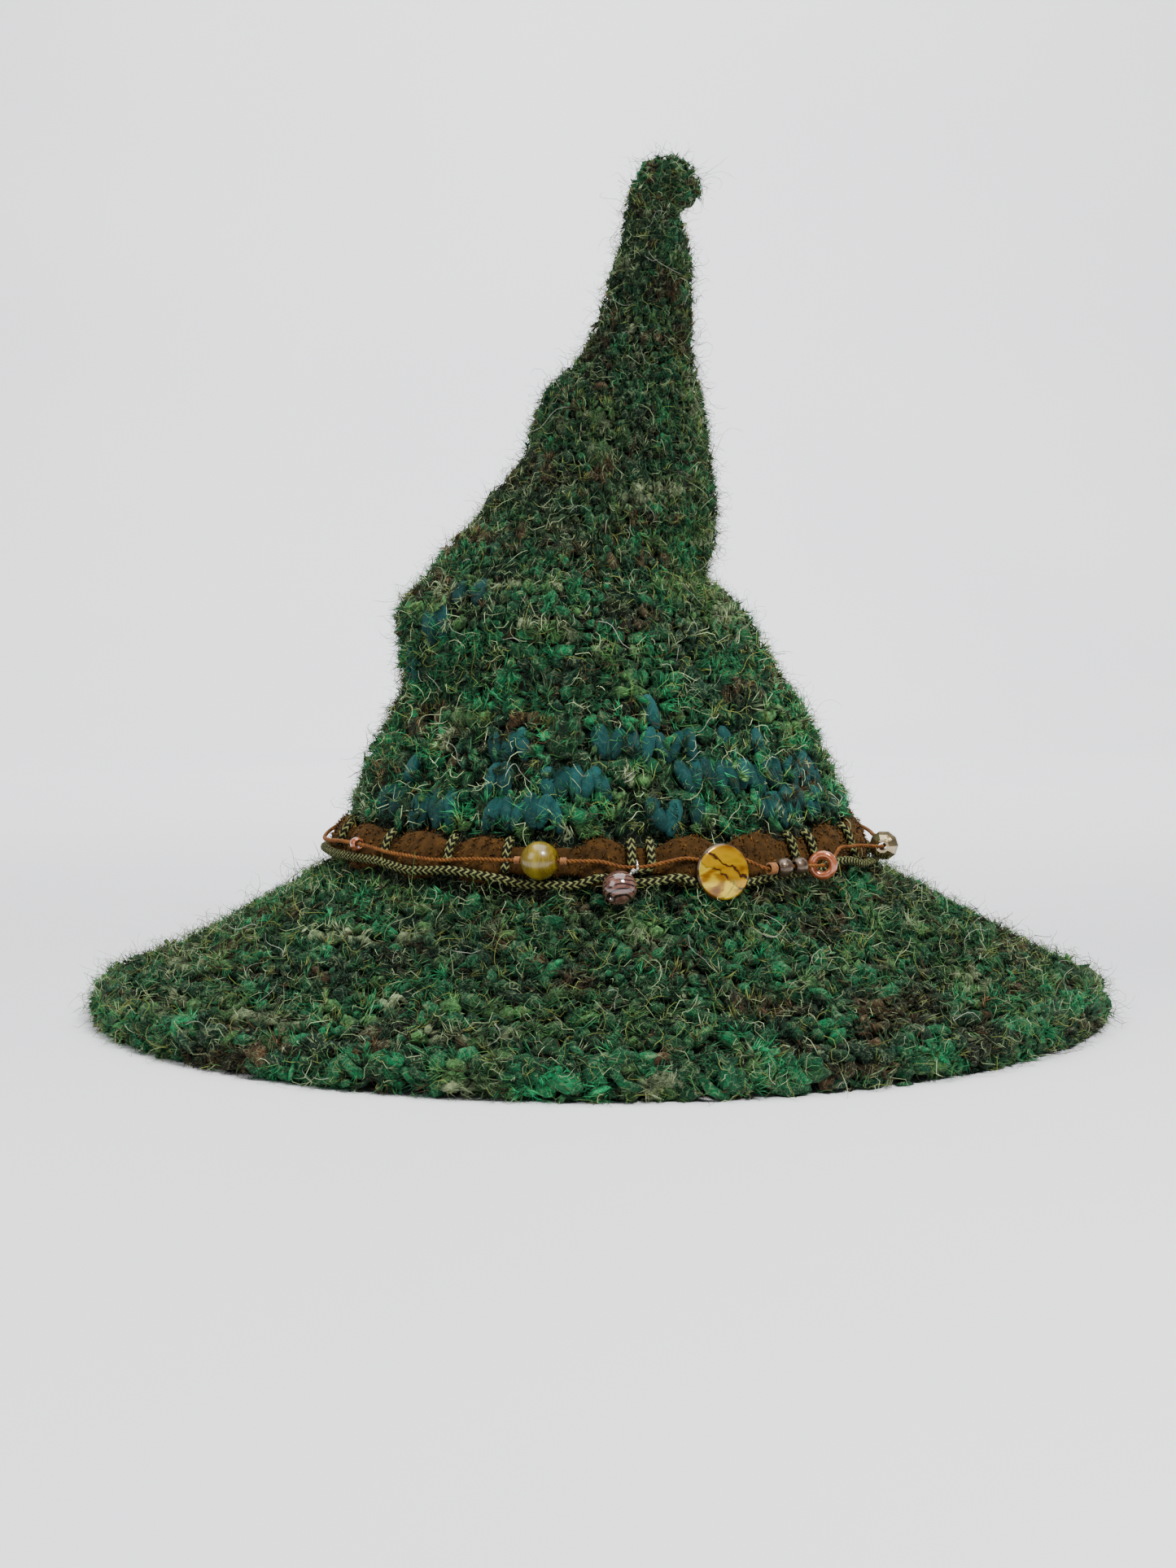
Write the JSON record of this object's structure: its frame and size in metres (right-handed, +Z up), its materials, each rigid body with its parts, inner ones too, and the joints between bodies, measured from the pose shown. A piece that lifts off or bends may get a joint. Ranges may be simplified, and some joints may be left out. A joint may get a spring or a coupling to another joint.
{
  "type": "knitted wizard hat with a beaded trim band",
  "caption": "Chunky green knitted wizard hat with a slouched cone, a curled peak, a wide sloping brim and a trim band of brown pile strip, cords and beads.",
  "frame": {"origin": "middle of the brim's box on the surface that the rim rests on", "axes": "+Z up through the crown, the front of the hat faces -Y, +X to the right of someone who looks at its front"},
  "size_m": [0.38, 0.386, 0.3258],
  "materials": {
    "green_knit": "chunky boucle knit of green, brown and teal yarns",
    "brown_pile": "short brown pile",
    "khaki_braid": "black and khaki braided cord",
    "rust_twist": "rust coloured twisted cord",
    "brown_thread": "wound brown thread",
    "olive_lacquer": "glossy ochre-olive lacquer",
    "mauve_glass": "opaque mauve glass with dark swirls",
    "silver_wire": "bright silver wire",
    "gold_shell": "polished gold mother-of-pearl with brown veins",
    "bronze_pearl": "bronze pearl coat",
    "salmon_copper": "salmon copper glaze",
    "smoky_crystal": "cut, smoky bronze coat"
  },
  "bodies": {
    "root": {"crown": "green_knit", "brim": "green_knit", "band_strip": "brown_pile", "braided_cord": "khaki_braid", "cord_hitch": "khaki_braid", "rust_cord": "rust_twist", "thread_knot": "brown_thread", "olive_bead": "olive_lacquer", "striped_bead": "mauve_glass", "bead_wire": "silver_wire", "shell_disc": "gold_shell", "bronze_bead_1": "bronze_pearl", "bronze_bead_2": "bronze_pearl", "copper_ring": "salmon_copper", "copper_bead": "salmon_copper", "faceted_bead": "smoky_crystal", "cord_wrap_01": "khaki_braid", "cord_wrap_02": "khaki_braid", "cord_wrap_03": "khaki_braid", "cord_wrap_04": "khaki_braid", "cord_wrap_05": "khaki_braid", "cord_wrap_06": "khaki_braid", "cord_wrap_07": "khaki_braid", "cord_wrap_08": "khaki_braid", "cord_wrap_09": "khaki_braid", "cord_wrap_10": "khaki_braid", "cord_wrap_11": "khaki_braid"}
  },
  "joints": []
}
